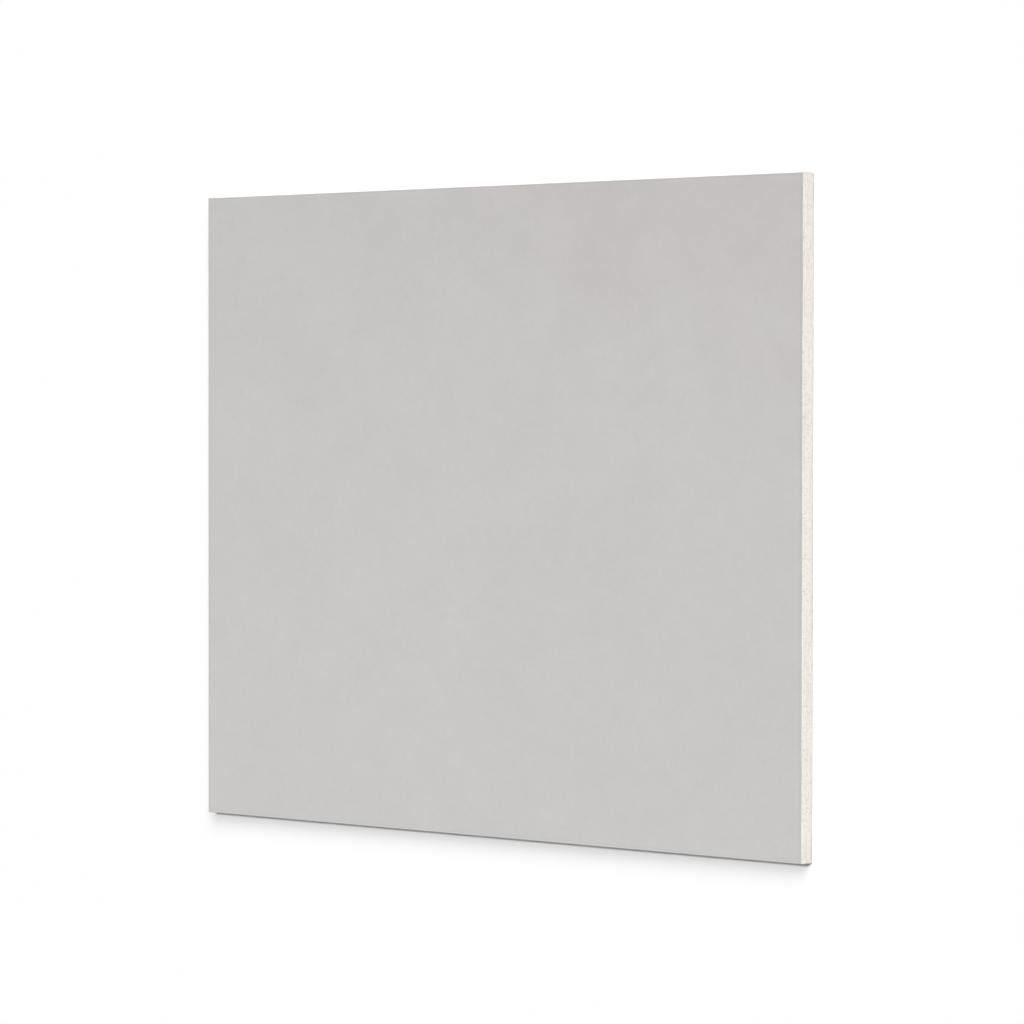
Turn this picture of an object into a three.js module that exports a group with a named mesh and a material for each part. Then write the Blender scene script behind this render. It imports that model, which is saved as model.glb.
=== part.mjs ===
// Gypsum board with square edges: a core of set gypsum bound between a face paper and a back paper.
//
// The board lies on its back, in millimetres. +X runs from one cut end to the other, +Y from one
// bound edge to the other, and +Z out of the face. The origin is at the middle of the back.
//
// The face paper covers the face, turns down over both bound edges and turns again onto the back,
// where it ends in a flap along each edge. The back paper laps over the two flaps, so the core is
// thinner there by one thickness of face paper. Both papers and the core end flush at the cut ends.

import * as THREE from 'three';

// Driving dimensions

const boardLength = 762; // from cut end to cut end, 30 in
const boardWidth = 609.6; // from bound edge to bound edge over the paper, 24 in
const boardThickness = 15.875; // over both papers, 5/8 in

const facePaperThickness = 0.4;
const backPaperThickness = 0.35;

const coreEdgeRadius = 0.8; // the core's rounded arrises, which the face paper folds round
const flapWidth = 25; // face paper on the back, measured in from the bound edge
const backPaperMargin = 8; // bare flap between the bound edge and the back paper

const foldSteps = 6; // flats in the quarter turn of each fold

// Section across the board: Y across, Z up

const halfWidth = boardWidth / 2;
const foldRadius = coreEdgeRadius + facePaperThickness;
const foldCentreY = halfWidth - foldRadius;
const upperFoldZ = boardThickness - foldRadius;
const lowerFoldZ = backPaperThickness + foldRadius;
const flapEndY = halfWidth - flapWidth;

const quarterTurn = Math.PI / 2;

// The line round the section from one flap's end over the face to the other's. At foldRadius it is
// the face paper's outside, and at coreEdgeRadius its inside, where the core lies against it.
function foldedLine(radius) {
  const line = new THREE.Path();
  line.moveTo(-flapEndY, lowerFoldZ - radius);
  line.lineTo(-foldCentreY, lowerFoldZ - radius);
  line.absarc(-foldCentreY, lowerFoldZ, radius, 3 * quarterTurn, 2 * quarterTurn, true);
  line.absarc(-foldCentreY, upperFoldZ, radius, 2 * quarterTurn, quarterTurn, true);
  line.absarc(foldCentreY, upperFoldZ, radius, quarterTurn, 0, true);
  line.absarc(foldCentreY, lowerFoldZ, radius, 0, -quarterTurn, true);
  line.lineTo(flapEndY, lowerFoldZ - radius);
  return line.getPoints(foldSteps / 2); // an arc takes twice as many steps as getPoints is given
}

function coreSection() {
  return new THREE.Shape([
    new THREE.Vector2(-flapEndY, backPaperThickness),
    ...foldedLine(coreEdgeRadius),
    new THREE.Vector2(flapEndY, backPaperThickness),
  ]);
}

function facePaperSection() {
  return new THREE.Shape([
    ...foldedLine(foldRadius),
    ...foldedLine(coreEdgeRadius).reverse(),
  ]);
}

function backPaperSection() {
  const edgeY = halfWidth - backPaperMargin;
  return new THREE.Shape([
    new THREE.Vector2(-edgeY, 0),
    new THREE.Vector2(edgeY, 0),
    new THREE.Vector2(edgeY, backPaperThickness),
    new THREE.Vector2(-edgeY, backPaperThickness),
  ]);
}

// Finishes

const setGypsum = new THREE.MeshStandardMaterial({ color: '#eee8e0', roughness: 0.95, metalness: 0 });
const greyFacePaper = new THREE.MeshStandardMaterial({ color: '#c8c7c5', roughness: 0.88, metalness: 0 });
const greyBackPaper = new THREE.MeshStandardMaterial({ color: '#b5b1a9', roughness: 0.92, metalness: 0 });

// Runs a section from one cut end to the other

function boardPiece(name, section, material) {
  const geometry = new THREE.ExtrudeGeometry(section, { depth: boardLength, bevelEnabled: false });
  const piece = new THREE.Mesh(geometry, material);
  piece.name = name;
  piece.position.z = -boardLength / 2;
  return piece;
}

const lyingBoard = new THREE.Group();
lyingBoard.rotation.set(quarterTurn, quarterTurn, 0); // section X, Y and depth become Y, Z and X
lyingBoard.add(
  boardPiece('gypsum_core', coreSection(), setGypsum),
  boardPiece('face_paper', facePaperSection(), greyFacePaper),
  boardPiece('back_paper', backPaperSection(), greyBackPaper),
);

const drywallSheet = new THREE.Group();
drywallSheet.add(lyingBoard);

export default drywallSheet;
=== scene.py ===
import math

import bpy
import numpy as np
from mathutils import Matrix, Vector


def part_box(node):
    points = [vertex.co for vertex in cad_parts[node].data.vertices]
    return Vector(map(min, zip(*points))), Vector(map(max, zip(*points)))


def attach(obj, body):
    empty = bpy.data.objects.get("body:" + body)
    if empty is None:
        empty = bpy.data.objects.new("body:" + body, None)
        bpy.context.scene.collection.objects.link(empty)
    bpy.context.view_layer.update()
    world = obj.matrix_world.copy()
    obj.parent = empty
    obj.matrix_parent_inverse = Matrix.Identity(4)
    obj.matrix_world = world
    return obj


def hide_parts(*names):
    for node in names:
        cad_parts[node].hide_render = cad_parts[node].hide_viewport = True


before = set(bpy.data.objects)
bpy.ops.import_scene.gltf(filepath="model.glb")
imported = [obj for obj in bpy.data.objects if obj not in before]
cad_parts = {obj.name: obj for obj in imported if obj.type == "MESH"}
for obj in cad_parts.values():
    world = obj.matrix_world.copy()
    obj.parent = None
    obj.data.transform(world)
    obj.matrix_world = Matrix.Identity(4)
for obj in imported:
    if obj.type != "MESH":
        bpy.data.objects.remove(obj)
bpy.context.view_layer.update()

mm = 0.001
sameLevel = 0.02 * mm  # points nearer than this are taken to lie on one level
sharpFrom = math.radians(50)  # faces that meet at more than this keep a crisp edge

# What the board measures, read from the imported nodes. It lies on its back in metres, with its
# cut ends at -X and +X and its paper-bound edges at -Y and +Y.

def reachAt(node, height):  # how far a node reaches from the middle line at one height
    points = [vertex.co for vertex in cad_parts[node].data.vertices]
    return max(abs(point.y) for point in points if abs(point.z - height) < sameLevel)


coreLow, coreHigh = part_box("gypsum_core")
paperLow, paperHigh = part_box("face_paper")
backLow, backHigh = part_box("back_paper")

halfLength = paperHigh.x
halfWidth = paperHigh.y
boardThick = paperHigh.z
facePaperThick = paperHigh.z - coreHigh.z
backPaperThick = backHigh.z - backLow.z
flapEnd = reachAt("gypsum_core", coreLow.z)  # where the face paper's flaps end on the back
foldCentre = reachAt("face_paper", paperHigh.z)  # the flat of the face ends here and the fold starts
foldRadius = halfWidth - foldCentre
upperFold = paperHigh.z - foldRadius
lowerFold = paperLow.z + foldRadius
print(f"board {2 * halfLength / mm:.1f} x {2 * halfWidth / mm:.1f} x {boardThick / mm:.3f} mm")

# Camera: 47 degrees up, on the side of the cut end at +X, looking down on the face through a long lens

cameraView = {
    "place": (2.9742, 0.0975, 3.1583),
    "turn": (-1.2308, 43.1193, 0.0898),  # degrees about X, Y and Z
    "lens": 162.53,  # mm
    "sensor": 36,  # mm wide
    "farthest": 100,  # m that it sees
}


def placeCamera(view):
    lens = bpy.data.cameras.new("studioCamera")
    lens.lens = view["lens"]
    lens.sensor_width = view["sensor"]
    lens.clip_end = view["farthest"]
    camera = bpy.data.objects.new("studioCamera", lens)
    bpy.context.collection.objects.link(camera)
    camera.location = view["place"]
    camera.rotation_euler = [math.radians(angle) for angle in view["turn"]]
    bpy.context.scene.camera = camera


placeCamera(cameraView)
print("camera placed")


def linearColour(code):  # sRGB hex to the linear colour that a shader takes, by the standard's own curve
    channels = [int(code[i:i + 2], 16) / 255 for i in (1, 3, 5)]
    return [c / 12.92 if c <= 0.04045 else ((c + 0.055) / 1.055) ** 2.4 for c in channels] + [1]


def perMetre(sizes):  # a pattern's scale along X, Y and Z from the real size of one of its marks, in mm
    return [1 / (size * mm) for size in sizes]


def addNode(tree, kind, settings=None, inputs=None):  # an input is a value, or the socket to link from
    node = tree.nodes.new(kind)
    for name, value in (settings or {}).items():
        setattr(node, name, value)
    for name, value in (inputs or {}).items():
        if isinstance(value, bpy.types.NodeSocket):
            tree.links.new(value, node.inputs[name])
        else:
            node.inputs[name].default_value = value
    return node


def newMaterial(name, preview):
    material = bpy.data.materials.new(name)
    material.use_nodes = True
    material.diffuse_color = linearColour(preview)
    material.node_tree.nodes.clear()
    return material, material.node_tree


def clouds(a, b, size, rng):  # soft random relief from 0 to 1 over two lengths, its marks so many mm across
    across, along = a / (size * mm), b / (size * mm)
    left, low = np.floor(across).astype(int), np.floor(along).astype(int)
    u, v = across - left, along - low
    u, v = u * u * (3 - 2 * u), v * v * (3 - 2 * v)
    left, low = left - left.min(), low - low.min()
    knots = rng.random((left.max() + 2, low.max() + 2))
    near = knots[left, low] * (1 - u) + knots[left + 1, low] * u
    far = knots[left, low + 1] * (1 - u) + knots[left + 1, low + 1] * u
    return near * (1 - v) + far * v


def pointCount(length, size):  # points along a length, about so many mm apart
    return max(2, round(length / (size * mm)) + 1)


def steps(start, end, size):  # places from start to end, about so many mm apart
    return np.linspace(start, end, pointCount(abs(end - start), size))


def meshPiece(name, points, faces, slots, materials):  # slots gives each face's material
    mesh = bpy.data.meshes.new(name)
    mesh.from_pydata(points.tolist(), [], faces)
    mesh.polygons.foreach_set("material_index", slots)
    mesh.polygons.foreach_set("use_smooth", [True] * len(faces))
    mesh.set_sharp_from_angle(angle=sharpFrom)
    for material in materials:
        mesh.materials.append(material)
    mesh.update()
    piece = bpy.data.objects.new(name, mesh)
    bpy.context.collection.objects.link(piece)
    return piece


def layMarks(tree, place, colour, marks):  # each kind of mark in turn lies over the colour below it
    for mark in marks.values():
        spot = addNode(tree, "ShaderNodeMapping", inputs={
            "Vector": place, "Scale": perMetre(mark["size"])})
        texture = addNode(tree, mark["texture"], inputs={
            "Vector": spot.outputs[0], "Scale": 1, **mark.get("inputs", {})})
        share = addNode(tree, "ShaderNodeMapRange", inputs={
            "Value": texture.outputs[mark["reads"]], "From Min": mark["clear"],
            "From Max": mark["full"], "To Max": mark["share"]})
        colour = addNode(tree, "ShaderNodeMix", {"data_type": "RGBA", "blend_type": mark["blend"]}, {
            0: share.outputs["Result"], 6: colour, 7: linearColour(mark["tint"])}).outputs[2]
    return colour


# Gypsum core: plaster foamed in the middle and denser by the papers, sawn across at both ends

coreLook = {
    "solidView": "#ede6de",  # in the viewport
    "bands": [  # mm above the back, and the colour there
        (1.0, "#dedcd9"),
        (3.6, "#e7e4e0"),
        (5.4, "#ece6df"),  # the foamed middle
        (9.4, "#ece8e1"),
        (10.8, "#f1ede7"),
        (12.3, "#e7e4e0"),  # where the foam meets the coat under the face
        (14.0, "#f4f6f3"),  # the coat, denser and whiter
    ],
    "bandWander": 0.7,  # mm up and down
    "wanderSize": (30, 30, 30),  # sizes of marks are in mm along X, Y and Z
    "marks": {  # a mark starts where its texture reads clear, and covers its whole share at full
        "damperPatches": {
            "tint": "#eee6df", "blend": "MIX", "share": 0.55, "clear": 0.45, "full": 0.65,
            "texture": "ShaderNodeTexNoise", "inputs": {"Detail": 3}, "reads": "Fac",
            "size": (40, 40, 6),
        },
        "slurryStreaks": {
            "tint": "#d9d3cb", "blend": "MIX", "share": 0.8, "clear": 0.5, "full": 0.75,
            "texture": "ShaderNodeTexNoise", "inputs": {"Detail": 2}, "reads": "Fac",
            "size": (60, 45, 1.3),
        },
        "crumbs": {
            "tint": "#d3cbc0", "blend": "MIX", "share": 0.65, "clear": 0.5, "full": 0.8,
            "texture": "ShaderNodeTexNoise", "inputs": {"Detail": 3}, "reads": "Fac",
            "size": (2.6, 2.6, 2.6),
        },
        "voidShadeSpecks": {  # dark specks of painted shade for voids too small for the mesh; real ones of 0.3 mm would blur away
            "tint": "#cfc6bb", "blend": "MIX", "share": 0.55, "clear": 0.34, "full": 0.12,
            "texture": "ShaderNodeTexVoronoi", "reads": "Distance", "size": (1.1, 1.1, 1.1),
        },
    },
    "poreDustAndShade": {"tint": "#cfc6bb", "share": 0.75, "clear": 0.1, "full": 0.8},  # in the pores, darker with their depth: dust, and painted shade
    "grainSize": (0.9, 0.9, 0.9),  # of the grain that is too fine for the mesh
    "grainHeight": 0.25,  # mm
    "grainBump": 0.5,
    "roughness": (0.9, 1),
    "cell": 0.5,  # mm between the columns of points on the sawn ends
    "rows": 30,
    "edgeFlats": 4,  # round each of the core's long edges
    "recess": 0.15,  # mm that the saw leaves the core behind the papers
    "grainDepth": 0.12,
    "grainMarks": ((1.3, 0.6), (2.9, 0.4)),  # mm across, and share of that depth
    "sawSpacing": 3.2,  # mm between the ridges that the saw's teeth leave
    "sawDepth": 0.09,
    "sawWander": 4,  # radians from the earliest to the latest that a ridge comes
    "sawWanderSize": 40,
    "sawFadeSize": 25,
    "poresPerSquareCm": 6,
    "poreRadius": (0.4, 1.25),  # mm; voids run from 0.1 mm up, and only the larger ones are cut
    "poreShrink": (0.6, 1),  # makes small ones the commoner
    "poreDepth": (0.25, 0.7),
    "denseShare": 0.1,  # of the thickness, beside each paper
    "densePores": 0.25,  # the share of the pores that is left there
    "chipsPerMetre": 16,  # crumbs broken out beside each paper
    "chipRadius": (0.5, 1.3),
    "chipDepth": (0.2, 0.5),
    "seed": 11,
}
flapStep = 0.02 * mm  # the width of the step in the core's underside where a flap of the face paper ends
squareCm = 0.01 ** 2


def foamedGypsum(look):
    # Foamed gypsum, set and sawn: matt, in faint bands, whiter by the face, pores darkened by dust and
    # painted shade.
    material, tree = newMaterial("sawnFoamedGypsum", look["solidView"])
    place = addNode(tree, "ShaderNodeTexCoord").outputs["Object"]
    height = addNode(tree, "ShaderNodeSeparateXYZ", inputs={0: place}).outputs["Z"]
    spot = addNode(tree, "ShaderNodeMapping", inputs={
        "Vector": place, "Scale": perMetre(look["wanderSize"])})
    wander = addNode(tree, "ShaderNodeTexNoise", inputs={
        "Vector": spot.outputs[0], "Scale": 1, "Detail": 2})
    wandering = addNode(tree, "ShaderNodeMath", {"operation": "MULTIPLY_ADD"}, {
        0: wander.outputs["Fac"], 1: 2 * look["bandWander"] * mm, 2: height})
    level = addNode(tree, "ShaderNodeMapRange", inputs={
        "Value": wandering.outputs[0], "From Min": look["bandWander"] * mm,
        "From Max": boardThick + look["bandWander"] * mm})
    bands = addNode(tree, "ShaderNodeValToRGB", inputs={"Fac": level.outputs["Result"]})
    stops = bands.color_ramp.elements
    stops.remove(stops[1])
    for i, (above, code) in enumerate(look["bands"]):
        stop = stops.new(above * mm / boardThick) if i else stops[0]
        stop.position = above * mm / boardThick
        stop.color = linearColour(code)
    colour = layMarks(tree, place, bands.outputs["Color"], look["marks"])

    # pores darken with their depth: dust, and painted shade in the hollows
    poreDustAndShade = look["poreDustAndShade"]
    hollows = addNode(tree, "ShaderNodeAttribute", {"attribute_name": "hollow"})
    share = addNode(tree, "ShaderNodeMapRange", inputs={
        "Value": hollows.outputs["Fac"], "From Min": poreDustAndShade["clear"], "From Max": poreDustAndShade["full"],
        "To Max": poreDustAndShade["share"]})
    colour = addNode(tree, "ShaderNodeMix", {"data_type": "RGBA"}, {
        0: share.outputs["Result"], 6: colour, 7: linearColour(poreDustAndShade["tint"])})

    spot = addNode(tree, "ShaderNodeMapping", inputs={
        "Vector": place, "Scale": perMetre(look["grainSize"])})
    grain = addNode(tree, "ShaderNodeTexNoise", inputs={
        "Vector": spot.outputs[0], "Scale": 1, "Detail": 4})
    rough = addNode(tree, "ShaderNodeMapRange", inputs={
        "Value": grain.outputs["Fac"], "To Min": look["roughness"][0], "To Max": look["roughness"][1]})
    relief = addNode(tree, "ShaderNodeBump", inputs={
        "Height": grain.outputs["Fac"], "Strength": look["grainBump"],
        "Distance": look["grainHeight"] * mm})
    surface = addNode(tree, "ShaderNodeBsdfPrincipled", inputs={
        "Base Color": colour.outputs[2], "Roughness": rough.outputs["Result"], "IOR": 1.52,
        "Specular IOR Level": 0.2, "Normal": relief.outputs["Normal"]})
    addNode(tree, "ShaderNodeOutputMaterial", inputs={"Surface": surface.outputs["BSDF"]})
    return material


def coreColumns(look):  # the places across the board where a sawn end has a column of points
    middle = steps(-flapEnd, flapEnd, look["cell"])
    overFlap = steps(flapEnd + flapStep, foldCentre, look["cell"])
    turn = np.linspace(0, math.pi / 2, look["edgeFlats"] + 1)[1:]
    rounded = foldCentre + (foldRadius - facePaperThick) * np.sin(turn)
    side = np.concatenate([overFlap, rounded])
    return np.concatenate([-side[::-1], middle, side])


def coreHeights(across):  # the core's underside and top at each column
    radius = foldRadius - facePaperThick
    past = np.clip(np.abs(across) - foldCentre, 0, radius)
    drop = radius - np.sqrt(np.maximum(radius ** 2 - past ** 2, 0))
    overFlap = np.where(np.abs(across) > flapEnd + flapStep / 2, facePaperThick, 0)
    return coreLow.z + overFlap + drop, coreHigh.z - drop


def dents(look, rng):  # where the pores and chips of one sawn end lie, with their radii and depths
    thick = coreHigh.z - coreLow.z
    found = []
    for _ in range(round(look["poresPerSquareCm"] * 2 * halfWidth * thick / squareCm)):
        y, z = rng.uniform(-halfWidth, halfWidth), rng.uniform(coreLow.z, coreHigh.z)
        radius = rng.uniform(*look["poreRadius"]) * rng.uniform(*look["poreShrink"])
        deep = rng.uniform(*look["poreDepth"])
        foamed = min(z - coreLow.z, coreHigh.z - z) >= look["denseShare"] * thick
        if foamed or rng.random() < look["densePores"]:
            found.append((y, z, radius * mm, deep * mm))
    for edge in (coreLow.z, coreHigh.z):
        for _ in range(round(look["chipsPerMetre"] * 2 * halfWidth)):
            y = rng.uniform(-halfWidth, halfWidth)
            radius, deep = rng.uniform(*look["chipRadius"]), rng.uniform(*look["chipDepth"])
            found.append((y, edge, radius * mm, deep * mm))
    return found


def sawnEnd(look, across, height, rng):  # each point's depth behind the cut's plane, and how hollow it is
    grain = sum(share * clouds(across, height, size, rng) for size, share in look["grainMarks"])
    late = look["sawWander"] * (clouds(across, height, look["sawWanderSize"], rng) - 0.5)  # radians
    saw = np.abs(np.sin(math.pi * across / (look["sawSpacing"] * mm) + late))
    saw *= clouds(across, height, look["sawFadeSize"], rng)
    depth = (look["recess"] + look["grainDepth"] * grain + look["sawDepth"] * saw) * mm
    hollow = np.zeros_like(depth)
    for y, z, radius, deep in dents(look, rng):
        near = slice(*np.searchsorted(across[:, 0], (y - radius, y + radius)))
        away = ((across[near] - y) ** 2 + (height[near] - z) ** 2) / radius ** 2
        hollow[near] = np.maximum(hollow[near], deep * np.clip(1 - away, 0, 1))
    return depth + hollow, hollow / (look["poreDepth"][1] * mm)


def makeCore(look):
    rng = np.random.default_rng(look["seed"])
    columns, rows = coreColumns(look), look["rows"]
    low, high = coreHeights(columns)
    across = np.repeat(columns[:, None], rows + 1, 1)
    height = low[:, None] + (high - low)[:, None] * np.linspace(0, 1, rows + 1)
    ends, hollows = [], []
    for side in (1, -1):
        depth, hollow = sawnEnd(look, across, height, rng)
        ends.append(np.stack([side * (halfLength - depth), across, height], -1).reshape(-1, 3))
        hollows.append(hollow.ravel())
    count = across.size  # the points of one end; the other end's come after them
    grid = np.arange(count).reshape(across.shape)
    faces = []
    for left, right in zip(grid[:-1], grid[1:]):
        faces += np.stack([left[:-1], right[:-1], right[1:], left[1:]], -1).tolist()
        faces += (count + np.stack([left[:-1], left[1:], right[1:], right[:-1]], -1)).tolist()
    rim = np.concatenate([grid[:, 0], grid[-1, 1:], grid[-2::-1, -1], grid[0, -2:0:-1]])
    onward = np.roll(rim, -1)  # the long sides run from one end's rim to the other's
    faces += np.stack([onward, rim, count + rim, count + onward], -1).tolist()
    core = meshPiece("gypsumCore", np.concatenate(ends), faces, [0] * len(faces), [foamedGypsum(look)])
    layer = core.data.attributes.new("hollow", "FLOAT", "POINT")
    layer.data.foreach_set("value", np.concatenate(hollows).astype(np.float32))
    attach(core, "root")
    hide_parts("gypsum_core")


makeCore(coreLook)
print("gypsum core made")

# The two papers share the shaders and the mesh below. Each has its own dictionary as well.

paperShape = {  # alike on both papers, in mm
    "closeLines": (0, 0.25, 0.6, 1.1, 1.8, 2.8),  # from the cut to the lines of points beside it
    "evenFrom": 5,  # and from here on the lines are a cell apart
    "cockleMarks": ((85, 0.5), (37, 0.5)),  # across, and share of the depth
    "pressReach": 0.9,  # from the cut
    "pressSize": 6,
    "leastPress": 0.4,  # share of the most
    "frayReach": 1.5,
    "fraySize": 2.2,
}


def layShadeAndToneDrifts(tree, place, colour, shadeAndToneDrift):  # broad tints that grow towards one side of the board: painted shade, and a faint pink tone
    spot = addNode(tree, "ShaderNodeMapping", inputs={
        "Vector": place, "Scale": perMetre(shadeAndToneDrift["wanderSize"])})
    noise = addNode(tree, "ShaderNodeTexNoise", inputs={
        "Vector": spot.outputs[0], "Scale": 1, "Detail": 3})
    for tint, towards, start, end in shadeAndToneDrift["tints"]:
        reach = addNode(tree, "ShaderNodeVectorMath", {"operation": "DOT_PRODUCT"}, {
            0: place, 1: (towards[0] / halfLength, towards[1] / halfWidth, 0)})
        wandering = addNode(tree, "ShaderNodeMath", {"operation": "MULTIPLY_ADD"}, {
            0: noise.outputs["Fac"], 1: 2 * shadeAndToneDrift["wander"], 2: reach.outputs["Value"]})
        share = addNode(tree, "ShaderNodeMapRange", inputs={
            "Value": wandering.outputs[0], "From Min": start + shadeAndToneDrift["wander"],
            "From Max": end + shadeAndToneDrift["wander"]})
        colour = addNode(tree, "ShaderNodeMix", {"data_type": "RGBA", "blend_type": "MULTIPLY"}, {
            0: share.outputs["Result"], 6: colour, 7: linearColour(tint)}).outputs[2]
    return colour


def layFoldShadingAndEdgeTints(tree, place, colour, lines):  # each line lies along one edge of the flat face; on the folds they are painted shade and painted light
    for line in lines.values():
        out, across, up = line["towards"]
        edge = abs(out) * halfLength + abs(across) * foldCentre + up * boardThick
        reach = addNode(tree, "ShaderNodeVectorMath", {"operation": "DOT_PRODUCT"}, {
            0: place, 1: line["towards"]})
        share = addNode(tree, "ShaderNodeMapRange", inputs={
            "Value": reach.outputs["Value"], "From Min": edge - line["start"] * mm,
            "From Max": edge - line["full"] * mm})
        colour = addNode(tree, "ShaderNodeMix", {"data_type": "RGBA", "blend_type": line["blend"]}, {
            0: share.outputs["Result"], 6: colour, 7: linearColour(line["tint"])}).outputs[2]
    return colour


def machinePaper(name, look):
    # Recycled paper pressed smooth between rolls: matt, faintly cloudy, its fibres lying along the board.
    material, tree = newMaterial(name, look["paper"])
    place = addNode(tree, "ShaderNodeTexCoord").outputs["Object"]
    colour = linearColour(look["paper"])
    # painted shade that darkens the face towards the +Y edge, with a faint pink tone at one corner
    if "shadeAndToneDrift" in look:
        colour = layShadeAndToneDrifts(tree, place, colour, look["shadeAndToneDrift"])
    colour = layMarks(tree, place, colour, look["marks"])
    # painted shade and painted light on the folds, and darker strips by the cut ends
    if "foldShadingAndEdgeTints" in look:
        colour = layFoldShadingAndEdgeTints(tree, place, colour, look["foldShadingAndEdgeTints"])

    spot = addNode(tree, "ShaderNodeMapping", inputs={
        "Vector": place, "Scale": perMetre(look["feltSize"])})
    felt = addNode(tree, "ShaderNodeTexNoise", inputs={
        "Vector": spot.outputs[0], "Scale": 1, "Detail": 4})
    relief = addNode(tree, "ShaderNodeBump", inputs={
        "Height": felt.outputs["Fac"], "Strength": look["feltBump"],
        "Distance": look["feltHeight"] * mm})
    rough = addNode(tree, "ShaderNodeMapRange", inputs={
        "Value": felt.outputs["Fac"], "To Min": look["roughness"][0], "To Max": look["roughness"][1]})
    surface = addNode(tree, "ShaderNodeBsdfPrincipled", inputs={
        "Base Color": colour, "Roughness": rough.outputs["Result"], "IOR": 1.5,
        "Specular IOR Level": 0.25, "Normal": relief.outputs["Normal"]})
    addNode(tree, "ShaderNodeOutputMaterial", inputs={"Surface": surface.outputs["BSDF"]})
    return material


def cutPaper(name, look):
    # Paper of several plies, cut through by a knife: duller and darker than its surface, in fine lines.
    material, tree = newMaterial(name, look["cutEdge"])
    place = addNode(tree, "ShaderNodeTexCoord").outputs["Object"]
    colour = layMarks(tree, place, linearColour(look["cutEdge"]), look["cutMarks"])
    surface = addNode(tree, "ShaderNodeBsdfPrincipled", inputs={
        "Base Color": colour, "Roughness": 0.95, "IOR": 1.5, "Specular IOR Level": 0.15})
    addNode(tree, "ShaderNodeOutputMaterial", inputs={"Surface": surface.outputs["BSDF"]})
    return material


def makePaper(name, look, line, outward, outside, thick, materials):
    # line + outward * outside is the paper's outer side across the board; it is so thick in from there
    rng = np.random.default_rng(look["seed"])
    nearEnd = np.array(paperShape["closeLines"]) * mm
    evenEnd = halfLength - paperShape["evenFrom"] * mm
    middle = steps(-evenEnd, evenEnd, look["cell"])
    stations = np.concatenate([-halfLength + nearEnd, middle, (halfLength - nearEnd)[::-1]])
    run = np.concatenate([[0], np.cumsum(np.hypot(*np.diff(line + outward * outside, axis=0).T))])
    along, across = np.meshgrid(stations, run, indexing="ij")
    toEnd = (halfLength - np.abs(along)) / mm
    dip = sum(share * clouds(along, across, size, rng) for size, share in paperShape["cockleMarks"])
    least = paperShape["leastPress"]
    press = least + (1 - least) * clouds(along, across, paperShape["pressSize"], rng)
    press *= np.exp(-(toEnd / paperShape["pressReach"]) ** 2)
    inward = (look["cockle"] * dip + look["press"] * press) * mm
    fray = look["fray"] * mm * clouds(along, across, paperShape["fraySize"], rng)
    x = along - np.sign(along) * fray * np.clip(1 - toEnd / paperShape["frayReach"], 0, 1)
    outer = line[None] + outward[None] * (outside - inward)[..., None]
    inner = np.broadcast_to(line[None] + outward[None] * (outside - thick), outer.shape)
    outer = np.concatenate([x[..., None], outer], -1)
    inner = np.concatenate([x[..., None], inner], -1)
    loops = np.concatenate([outer, inner[:, ::-1]], 1)

    grid = np.arange(loops[..., 0].size).reshape(loops.shape[:2])
    faces = []
    for near, far in zip(grid[:-1], grid[1:]):
        faces += np.stack([near, far, np.roll(far, -1), np.roll(near, -1)], -1).tolist()
    slots = [0] * len(faces)
    half = len(run)
    for loop, order in ((grid[0], 1), (grid[-1], -1)):  # the cut edge at each end
        top, under = loop[:half], loop[:half - 1:-1]
        edge = np.stack([top[:-1], top[1:], under[1:], under[:-1]], -1)[:, ::order]
        faces += edge.tolist()
        slots += [1] * len(edge)
    return meshPiece(name, loops.reshape(-1, 3), faces, slots, materials)


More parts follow.
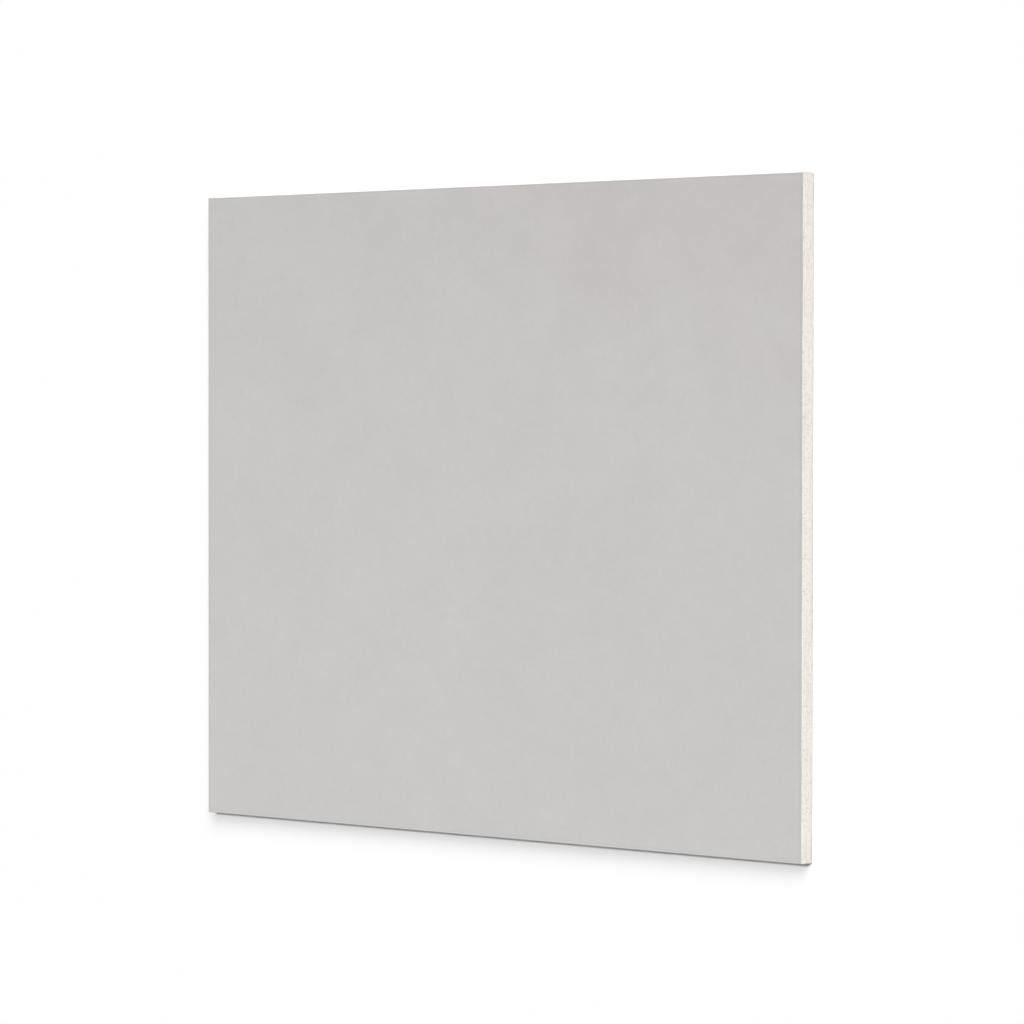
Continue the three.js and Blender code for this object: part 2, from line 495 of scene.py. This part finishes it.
facePaperLook = {
    "paper": "#cbcac8",
    "shadeAndToneDrift": {
        "tints": [  # tint, direction in half lengths and half widths, and where it starts and is full
            # the first two darken the face towards the +Y edge: painted shade
            ("#fcfcfc", (0, 1), -1, 1),
            ("#fcfcfc", (0, 1), 0.2, 1.1),
            # a faint pink tone towards the +X, +Y corner
            ("#fffbfc", (0.55, 1), 0.65, 1.05),
        ],
        "wander": 0.6,  # of a half width, to either side
        "wanderSize": (90, 70, 70),  # sizes of marks are in mm along X, Y and Z
    },
    "marks": {  # a mark starts where its texture reads clear, and covers its whole share at full
        "clouds": {
            "tint": "#f7f7f7", "blend": "MULTIPLY", "share": 1, "clear": 0.3, "full": 0.7,
            "texture": "ShaderNodeTexNoise", "inputs": {"Detail": 6, "Roughness": 1}, "reads": "Fac",
            "size": (120, 90, 90),
        },
        "fibres": {  # 2 mm by 0.03 mm in truth, drawn coarser so that they show
            "tint": "#d1d0ce", "blend": "MIX", "share": 0.5, "clear": 0.56, "full": 0.78,
            "texture": "ShaderNodeTexNoise", "inputs": {"Detail": 3, "Roughness": 0.7}, "reads": "Fac",
            "size": (7, 1, 1),
        },
        "flecks": {  # dark fibres of the recycled stock, with one fleck to each 9 by 6 mm
            "tint": "#b4b1ad", "blend": "MIX", "share": 0.4, "clear": 0.12, "full": 0.03,
            "texture": "ShaderNodeTexVoronoi", "reads": "Distance", "size": (9, 6, 6),
        },
    },
    # Each line starts and is full so many mm before its edge. Counting height ends it on the fold.
    "foldShadingAndEdgeTints": {
        # painted shade on the +Y fold, which the lamps light
        "paintedFoldShade": {
            "tint": "#f2f2f2", "blend": "MULTIPLY", "towards": (0, 1, 4), "start": 0.8, "full": 0.35,
        },
        "paintedFoldLight": {  # painted light on the -Y fold, which lies in shade
            "tint": "#d2d1cf", "blend": "MIX", "towards": (0, -1, 4), "start": 0.75, "full": 0.3,
        },
        "nearCut": {  # darker within a few mm of the cut end at +X
            "tint": "#f9f8f8", "blend": "MULTIPLY", "towards": (1, 0, 0), "start": 3.5, "full": 2,
        },
        "farCut": {
            "tint": "#faf9f9", "blend": "MULTIPLY", "towards": (-1, 0, 0), "start": 1.7, "full": 0.9,
        },
    },
    "feltSize": (2.4, 0.9, 0.9),
    "feltHeight": 0.06,
    "feltBump": 0.25,
    "roughness": (0.8, 0.98),
    "cutEdge": "#a3a09b",
    "cutMarks": {
        "plies": {
            "tint": "#b7b4b0", "blend": "MIX", "share": 1, "clear": 0.3, "full": 0.7,
            "texture": "ShaderNodeTexNoise", "inputs": {"Detail": 3}, "reads": "Fac",
            "size": (3, 3, 0.12),
        },
    },
    "cell": 4.0,  # mm between the points of the mesh
    "edgeCell": 1.5,  # and across the bound edges
    "foldFlats": 6,  # round each fold
    "cockle": 0.07,  # mm that the paper dips as it dries onto the core
    "press": 0.16,  # mm that the knife presses it down at the cut
    "fray": 0.12,  # mm, how unevenly the cut leaves the edge
    "seed": 5,
}


def foldedLine(look):  # the line that the face paper is offset from, and the way out of the board along it
    corners = [(-flapEnd, lowerFold), (-foldCentre, lowerFold), (-foldCentre, upperFold)]
    corners += [(-y, z) for y, z in reversed(corners)]
    cells = [look["cell"], look["edgeCell"], look["cell"], look["edgeCell"], look["cell"]]
    points, angles = [], []
    outwards = -90  # degrees from +Y towards +Z: the first flap faces down, and each fold turns it on
    for start, end, cell in zip(corners, corners[1:], cells):
        if points:  # the fold before this flat turns about its first point
            turn = np.linspace(outwards, outwards - 90, look["foldFlats"] + 1)[1:-1]
            points.append(np.tile(start, (len(turn), 1)))
            angles.append(turn)
            outwards -= 90
        count = pointCount(math.dist(start, end), cell)
        points.append(np.linspace(start, end, count))
        angles.append(np.full(count, outwards, float))
    outward = np.radians(np.concatenate(angles))
    return np.concatenate(points), np.stack([np.cos(outward), np.sin(outward)], -1)


def makeFacePaper(look):
    line, outward = foldedLine(look)
    materials = [machinePaper("calenderedGreyFacePaper", look), cutPaper("knifeCutFacePaper", look)]
    face = makePaper("facePaper", look, line, outward, foldRadius, facePaperThick, materials)
    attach(face, "root")
    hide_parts("face_paper")


makeFacePaper(facePaperLook)
print("face paper made")

backPaperLook = {
    "paper": "#b8b2a8",
    "marks": {
        "clouds": {
            "tint": "#f6f5f3", "blend": "MULTIPLY", "share": 1, "clear": 0.3, "full": 0.7,
            "texture": "ShaderNodeTexNoise", "inputs": {"Detail": 6, "Roughness": 0.8}, "reads": "Fac",
            "size": (60, 40, 40),
        },
        "fibres": {
            "tint": "#c6c1b8", "blend": "MIX", "share": 0.5, "clear": 0.56, "full": 0.78,
            "texture": "ShaderNodeTexNoise", "inputs": {"Detail": 3, "Roughness": 0.7}, "reads": "Fac",
            "size": (7, 1, 1),
        },
        "flecks": {
            "tint": "#8f877b", "blend": "MIX", "share": 0.55, "clear": 0.16, "full": 0.06,
            "texture": "ShaderNodeTexVoronoi", "reads": "Distance", "size": (8, 5, 5),
        },
    },
    "feltSize": (2.0, 1.1, 1.1),
    "feltHeight": 0.09,
    "feltBump": 0.25,
    "roughness": (0.8, 0.98),
    "cutEdge": "#a3a09b",
    "cutMarks": {
        "plies": {
            "tint": "#b1aca5", "blend": "MIX", "share": 1, "clear": 0.3, "full": 0.7,
            "texture": "ShaderNodeTexNoise", "inputs": {"Detail": 3}, "reads": "Fac",
            "size": (3, 3, 0.12),
        },
    },
    "cell": 6.0,
    "cockle": 0.05,
    "press": 0.12,
    "fray": 0.12,
    "seed": 8,
}


def makeBackPaper(look):
    across = steps(backHigh.y, -backHigh.y, look["cell"])
    line = np.stack([across, np.full(len(across), backLow.z)], -1)
    outward = np.tile((0.0, -1.0), (len(across), 1))
    materials = [machinePaper("recycledGreyBackPaper", look), cutPaper("knifeCutBackPaper", look)]
    back = makePaper("backPaper", look, line, outward, 0, backPaperThick, materials)
    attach(back, "root")
    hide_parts("back_paper")


makeBackPaper(backPaperLook)
print("back paper made")

# Studio: a white floor, even light from all round, a small steep lamp and a broad one. Both lean
# towards +X and +Y, so that the cut end at +X is bright and the shadow lies along the -Y edge.

studio = {
    "roomLight": 0.15,  # shares are of the light on the face, 1 in all
    "lamps": {  # a lamp leans so many metres towards +X and +Y for each metre up
        "steepLamp": {"share": 0.5, "lean": (0.35, 0.22), "degreesAcross": 6},
        "softLamp": {"share": 0.35, "lean": (0.82, 0.86), "degreesAcross": 40},
    },
    "floor": "#f9f9f9",
    "floorGlow": 0.05,  # seen by the camera only
    "floorSize": 60,  # m
}


def makeFloor(look):
    material, tree = newMaterial("mattWhiteFloor", look["floor"])
    path = addNode(tree, "ShaderNodeLightPath")
    matt = addNode(tree, "ShaderNodeBsdfDiffuse", inputs={"Color": linearColour(look["floor"])})
    glow = addNode(tree, "ShaderNodeEmission", inputs={
        "Color": (1, 1, 1, 1), "Strength": look["floorGlow"]})
    both = addNode(tree, "ShaderNodeAddShader", inputs={0: matt.outputs[0], 1: glow.outputs[0]})
    seen = addNode(tree, "ShaderNodeMixShader", inputs={
        0: path.outputs["Is Camera Ray"], 1: matt.outputs[0], 2: both.outputs[0]})
    addNode(tree, "ShaderNodeOutputMaterial", inputs={"Surface": seen.outputs[0]})
    half = look["floorSize"] / 2
    corners = np.array([(-half, -half, 0), (half, -half, 0), (half, half, 0), (-half, half, 0)])
    floor = meshPiece("studioFloor", corners, [(0, 1, 2, 3)], [0], [material])


def makeRoom(look):  # the camera and reflections see plain white
    world = bpy.data.worlds.new("evenRoom")
    bpy.context.scene.world = world
    world.use_nodes = True
    tree = world.node_tree
    tree.nodes.clear()
    path = addNode(tree, "ShaderNodeLightPath")
    plain = addNode(tree, "ShaderNodeMath", {"operation": "MAXIMUM"}, {
        0: path.outputs["Is Camera Ray"], 1: path.outputs["Is Glossy Ray"]})
    plain = addNode(tree, "ShaderNodeMath", {"operation": "MAXIMUM"}, {
        0: plain.outputs[0], 1: path.outputs["Is Transmission Ray"]})
    strength = addNode(tree, "ShaderNodeMapRange", inputs={
        "Value": plain.outputs[0], "To Min": look["roomLight"], "To Max": 1.0})
    light = addNode(tree, "ShaderNodeBackground", inputs={
        "Color": (1, 1, 1, 1), "Strength": strength.outputs["Result"]})
    addNode(tree, "ShaderNodeOutputWorld", inputs={"Surface": light.outputs[0]})


def makeLamps(look):
    for name, lampLook in look["lamps"].items():
        up = Vector((*lampLook["lean"], 1)).normalized()
        lamp = bpy.data.lights.new(name, "SUN")
        lamp.angle = math.radians(lampLook["degreesAcross"])
        lamp.energy = lampLook["share"] * math.pi / up.z  # pi from straight above shows white as 1
        piece = bpy.data.objects.new(name, lamp)
        bpy.context.collection.objects.link(piece)
        piece.rotation_euler = up.to_track_quat("Z", "Y").to_euler()


makeFloor(studio)
makeRoom(studio)
makeLamps(studio)
bpy.context.scene.view_settings.view_transform = "Standard"
print("studio lit")
